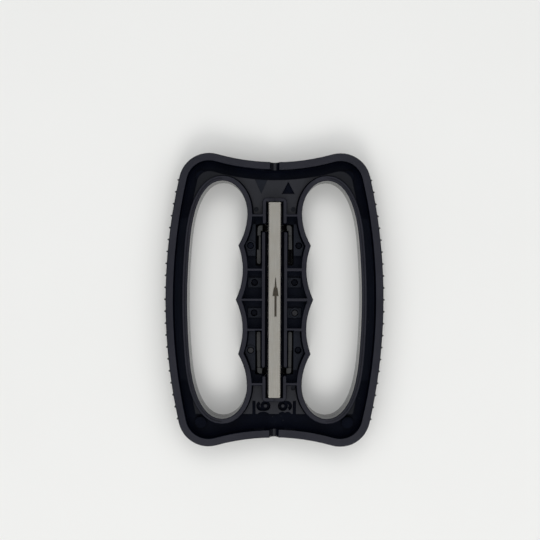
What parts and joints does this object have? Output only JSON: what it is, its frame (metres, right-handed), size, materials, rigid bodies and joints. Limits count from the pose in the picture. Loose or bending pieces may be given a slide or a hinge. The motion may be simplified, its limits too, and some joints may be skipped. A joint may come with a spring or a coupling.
{
  "type": "ski and snowboard edge tuning tool",
  "caption": "Two-handed guide frame with finger openings that carries a flat file on edge, for sharpening ski and snowboard edges at set angles.",
  "frame": {"origin": "under the middle of the tool, on the surface that the rear rims lie on", "axes": "+Z out of the front guide faces, +Y along the file's cutting direction (its arrow), +X towards the 89 degree side as seen from the front"},
  "size_m": [0.1136, 0.1512, 0.021],
  "materials": {
    "frame_plastic": "satin moulded",
    "file_steel": "ground",
    "clip_plastic": "matte moulded",
    "pin_plastic": "satin moulded",
    "grip_rubber": "matte"
  },
  "bodies": {
    "frame": {"front_frame": "frame_plastic", "rear_frame": "frame_plastic", "grip_strip_left": "grip_rubber", "grip_strip_right": "grip_rubber", "assembly_pin_left_1": "pin_plastic", "assembly_pin_right_1": "pin_plastic", "assembly_pin_left_2": "pin_plastic", "assembly_pin_right_2": "pin_plastic", "assembly_pin_left_3": "pin_plastic", "assembly_pin_right_3": "pin_plastic", "assembly_pin_left_4": "pin_plastic", "assembly_pin_right_4": "pin_plastic", "assembly_pin_upper_left_corner": "pin_plastic", "assembly_pin_upper_right_corner": "pin_plastic", "assembly_pin_lower_left_corner": "pin_plastic", "assembly_pin_lower_right_corner": "pin_plastic"},
    "file": {"file": "file_steel"},
    "clip_upper_left": {"file_clip_upper_left": "clip_plastic"},
    "clip_upper_right": {"file_clip_upper_right": "clip_plastic"},
    "clip_lower_left": {"file_clip_lower_left": "clip_plastic"},
    "clip_lower_right": {"file_clip_lower_right": "clip_plastic"}
  },
  "joints": [
    {"name": "file_slide", "type": "slide", "parent": "frame", "child": "file", "axis": [0, 0, 1], "range_m": [-0.005, 0.022]},
    {"name": "clip_upper_left_flex", "type": "hinge", "parent": "frame", "child": "clip_upper_left", "pos_m": [-0.00815, 0.0194, 0.0085], "axis": [0, 0, 1], "range_deg": [0, 2], "stiffness_Nm_per_rad": 1.2},
    {"name": "clip_upper_right_flex", "type": "hinge", "parent": "frame", "child": "clip_upper_right", "pos_m": [0.00815, 0.0194, 0.0085], "axis": [0, 0, -1], "range_deg": [0, 2], "stiffness_Nm_per_rad": 1.2},
    {"name": "clip_lower_left_flex", "type": "hinge", "parent": "frame", "child": "clip_lower_left", "pos_m": [-0.00815, -0.0176, 0.0085], "axis": [0, 0, -1], "range_deg": [0, 2], "stiffness_Nm_per_rad": 1.2},
    {"name": "clip_lower_right_flex", "type": "hinge", "parent": "frame", "child": "clip_lower_right", "pos_m": [0.00815, -0.0176, 0.0085], "axis": [0, 0, 1], "range_deg": [0, 2], "stiffness_Nm_per_rad": 1.2}
  ]
}
